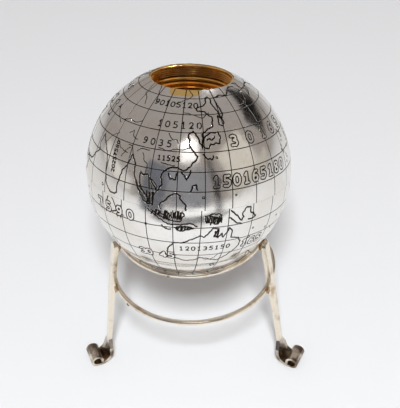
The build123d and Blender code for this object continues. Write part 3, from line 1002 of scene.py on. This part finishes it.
def card(name, azimuth, elevation, wide, high, color, distance=1.4):
    """A card, angles in degrees, seen only as a reflection in the metal."""
    direction = heading(azimuth, elevation)
    width = 2 * distance * tan(radians(wide / 2))
    height = 2 * distance * tan(radians(high / 2))
    item = plane(name, width, height, (0, 0, 0), CENTRE + direction * distance, facing(direction))
    hide(item, glossy=True)
    glow = item.data.materials[0].node_tree.nodes["Principled BSDF"]
    glow.inputs["Emission Color"].default_value = (*color, 1)
    glow.inputs["Emission Strength"].default_value = 1.0
    glow.inputs["Specular IOR Level"].default_value = 0.0


def area_light(name, azimuth, elevation, width, height, watts, distance=1.0):
    data = bpy.data.lights.new(name, "AREA")
    data.energy = watts
    data.shape = "RECTANGLE"
    data.size, data.size_y = width, height
    item = bpy.data.objects.new(name, data)
    bpy.context.collection.objects.link(item)
    direction = heading(azimuth, elevation)
    item.matrix_world = Matrix.Translation(CENTRE + direction * distance) @ facing(direction)
    item.visible_glossy = False


def spot_light(name, azimuth, elevation, watts, distance=0.9):
    """A narrow beam into the mouth, so the gilt inside glows."""
    data = bpy.data.lights.new(name, "SPOT")
    data.energy = watts
    data.spot_size = radians(2.6)
    data.spot_blend = 0.7
    data.shadow_soft_size = 0.04
    item = bpy.data.objects.new(name, data)
    bpy.context.collection.objects.link(item)
    direction = heading(azimuth, elevation)
    mouth = GLOBE_FRAME @ Vector((0, 0, oval_height(GLOBE_R, GLOBE_C, MOUTH_R)))
    item.matrix_world = Matrix.Translation(mouth + direction * distance) @ facing(direction)


def backdrop():
    """A pale wall all round, which only the camera sees."""
    count, reach, top = 24, 2.9, 3.0
    corners = [heading(360 * i / count, 0) * reach for i in range(count)]
    points = [Vector((v.x, v.y, z)) for z in (0, top) for v in corners]
    faces = [(i, (i + 1) % count, (i + 1) % count + count, i + count) for i in range(count)]
    mesh = bpy.data.meshes.new("backdrop")
    mesh.from_pydata(points, [], faces)
    item = bpy.data.objects.new("backdrop", mesh)
    bpy.context.collection.objects.link(item)
    glow = Mat("backdrop", (0, 0, 0), 0, 1).bsdf
    mesh.materials.append(bpy.data.materials["backdrop"])
    glow.inputs["Emission Color"].default_value = (0.72, 0.72, 0.74, 1)
    glow.inputs["Emission Strength"].default_value = 1.0
    hide(item, camera=True)


def studio():
    world = bpy.data.worlds.new("world")
    bpy.context.scene.world = world
    world.use_nodes = True
    tree = world.node_tree
    tree.nodes["Background"].inputs[0].default_value = (0.36, 0.33, 0.315, 1)
    backdrop()
    plane("floor", 6, 6, (0.84, 0.87, 0.9), Vector((0, 0, 0)))
    bpy.context.scene.view_settings.view_transform = "Standard"
    area_light("key", 4, 52, 0.17, 0.17, 10.0)
    spot_light("mouth_light", 8, 62, 9.0)
    spot_light("mouth_back_light", 166, 36, 40.0)
    card("softbox", 6, 54, 20, 22, (1.45, 1.45, 1.48))
    card("left_wall", -85, 2, 50, 14, (0.75, 0.73, 0.7))
    card("right_wall", 70, 26, 40, 36, (0.72, 0.69, 0.64))
    card("low_right_wall", 75, 2, 60, 12, (0.56, 0.53, 0.48))
    card("black_flag", 133, 19, 34, 24, (0.01, 0.009, 0.008), 1.3)
    card("front_left_flag", -34, 12, 26, 50, (0.15, 0.16, 0.19), 0.3)
    card("front_flag", 3, 17, 44, 40, (0.27, 0.275, 0.3), 0.36)
    card("front_right_flag", 32, 15, 6, 52, (0.04, 0.04, 0.045), 0.33)
    # Painted shade: a dark sheet on the floor in front, seen only in the metal, standing for the dim floor
    # reflected there.
    shade = plane("floor_shade_card", 0.34, 0.13, (0.16, 0.16, 0.17), Vector((0.02, -0.265, 0.001)))
    hide(shade, glossy=True)


# ---------------------------------------------------------------- put together
def build():
    rng = random.Random(7)
    shared = coast_lines(rng) + number_lines()
    silver = engraved_silver()
    upper_half(shared + grid_lines(0, 66.5), silver)
    lower_half(shared + grid_lines(-86, 0), silver)
    stand_metal = plain_silver("stand_silver", 0.54, 0.72, True)
    inner_metal = plain_silver("plain_silver", 0.6, 0.85)
    solder = solder_silver()
    gold = gilt("gilding", 0.75, 0.26, 0.5)
    threaded_collar(gilt("collar_gilding", 1, 0.1, 0.24))
    for name, item in frame["nodes"].items():
        if "lining" in name or "collar" in name:
            mat = gold
        elif "solder" in name or "seam_bead" in name:
            mat = solder
        elif name == "bezel":
            mat = inner_metal
        else:
            mat = stand_metal
        item.data.materials.clear()
        item.data.materials.append(mat)


build()
camera()
studio()
